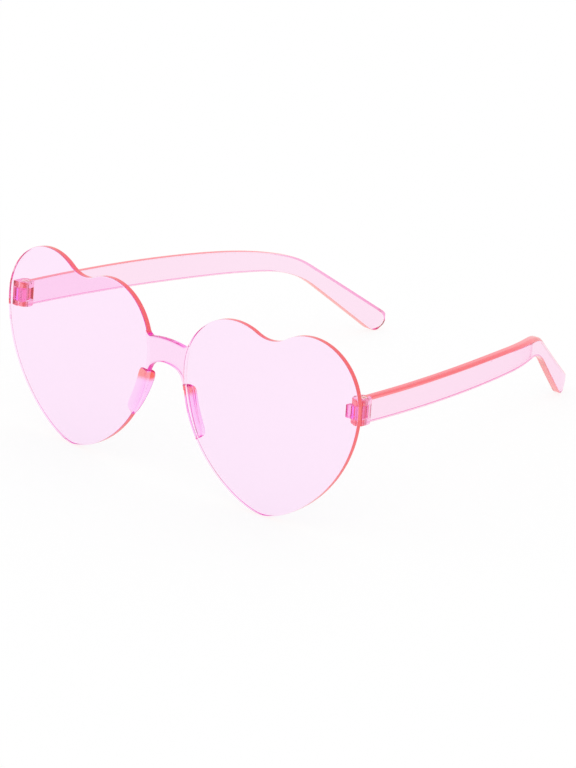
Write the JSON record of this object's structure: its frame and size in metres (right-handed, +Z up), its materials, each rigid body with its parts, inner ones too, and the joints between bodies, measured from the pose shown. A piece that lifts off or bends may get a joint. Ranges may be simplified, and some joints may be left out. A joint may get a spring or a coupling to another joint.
{
  "type": "heart shaped sunglasses",
  "caption": "Rimless sunglasses with clear pink heart shaped lenses, an arched bridge, moulded nose pads and folding temples that bow inward and end in ear hooks.",
  "frame": {"origin": "middle of the bounding box at the level the open pair stands on", "axes": "+X to the wearer's left, +Y from the lenses back to the ear hooks, +Z up"},
  "size_m": [0.151, 0.144, 0.0599],
  "materials": {
    "lens_plastic": "clear pink tint, polished",
    "front_plastic": "clear pink, moulded gloss",
    "temple_plastic": "clear pink, moulded gloss",
    "screw_steel": "rose tinted plating"
  },
  "bodies": {
    "front": {"left_heart_lens": "lens_plastic", "right_heart_lens": "lens_plastic", "bridge": "front_plastic", "left_nose_pad": "front_plastic", "right_nose_pad": "front_plastic", "left_hinge_lug": "front_plastic", "right_hinge_lug": "front_plastic"},
    "left_temple": {"left_temple": "temple_plastic", "left_hinge_screw": "screw_steel"},
    "right_temple": {"right_temple": "temple_plastic", "right_hinge_screw": "screw_steel"}
  },
  "joints": [
    {"name": "left_temple_fold", "type": "hinge", "parent": "front", "child": "left_temple", "pos_m": [0.07237, -0.05978, 0.03985], "axis": [0, 0.0965, 0.9953], "range_deg": [0, 76]},
    {"name": "right_temple_fold", "type": "hinge", "parent": "front", "child": "right_temple", "pos_m": [-0.07237, -0.05978, 0.03985], "axis": [0, -0.0965, -0.9953], "range_deg": [0, 71]}
  ]
}
